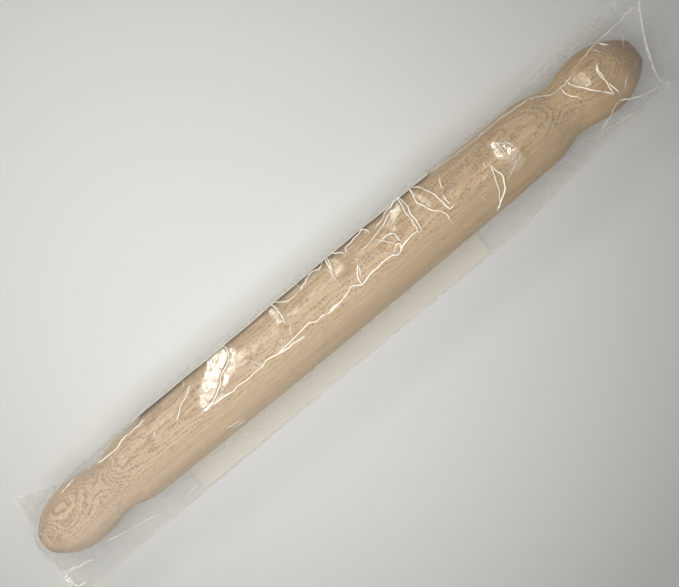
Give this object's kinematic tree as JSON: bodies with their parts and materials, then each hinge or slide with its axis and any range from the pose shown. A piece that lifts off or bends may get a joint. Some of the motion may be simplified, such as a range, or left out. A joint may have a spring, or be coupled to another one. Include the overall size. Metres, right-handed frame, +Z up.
{
  "type": "rolling pin",
  "caption": "Solid wooden rolling pin with a coved neck and ball knob turned on each end, in a clear open-ended bag with a folded backing card.",
  "frame": {"origin": "on the table, under the middle of the pin's length and under its axis", "axes": "+X along the pin towards the bag's open mouth, +Y towards the side where the card curls up behind the pin, +Z up"},
  "size_m": [0.4501, 0.0728, 0.0427],
  "materials": {
    "beech": "bare steamed beech, turned and sanded smooth",
    "card": "uncoated off-white board, blank",
    "clear_film": "clear glossy film, crinkled"
  },
  "bodies": {
    "pin": {"rolling_pin": "beech"},
    "wrapper": {"film_bag": "clear_film", "card_insert": "card"}
  },
  "joints": [
    {"name": "wrapper_slide", "type": "slide", "parent": "pin", "child": "wrapper", "axis": [-1, 0, 0], "range_m": [0, 0.45]}
  ]
}
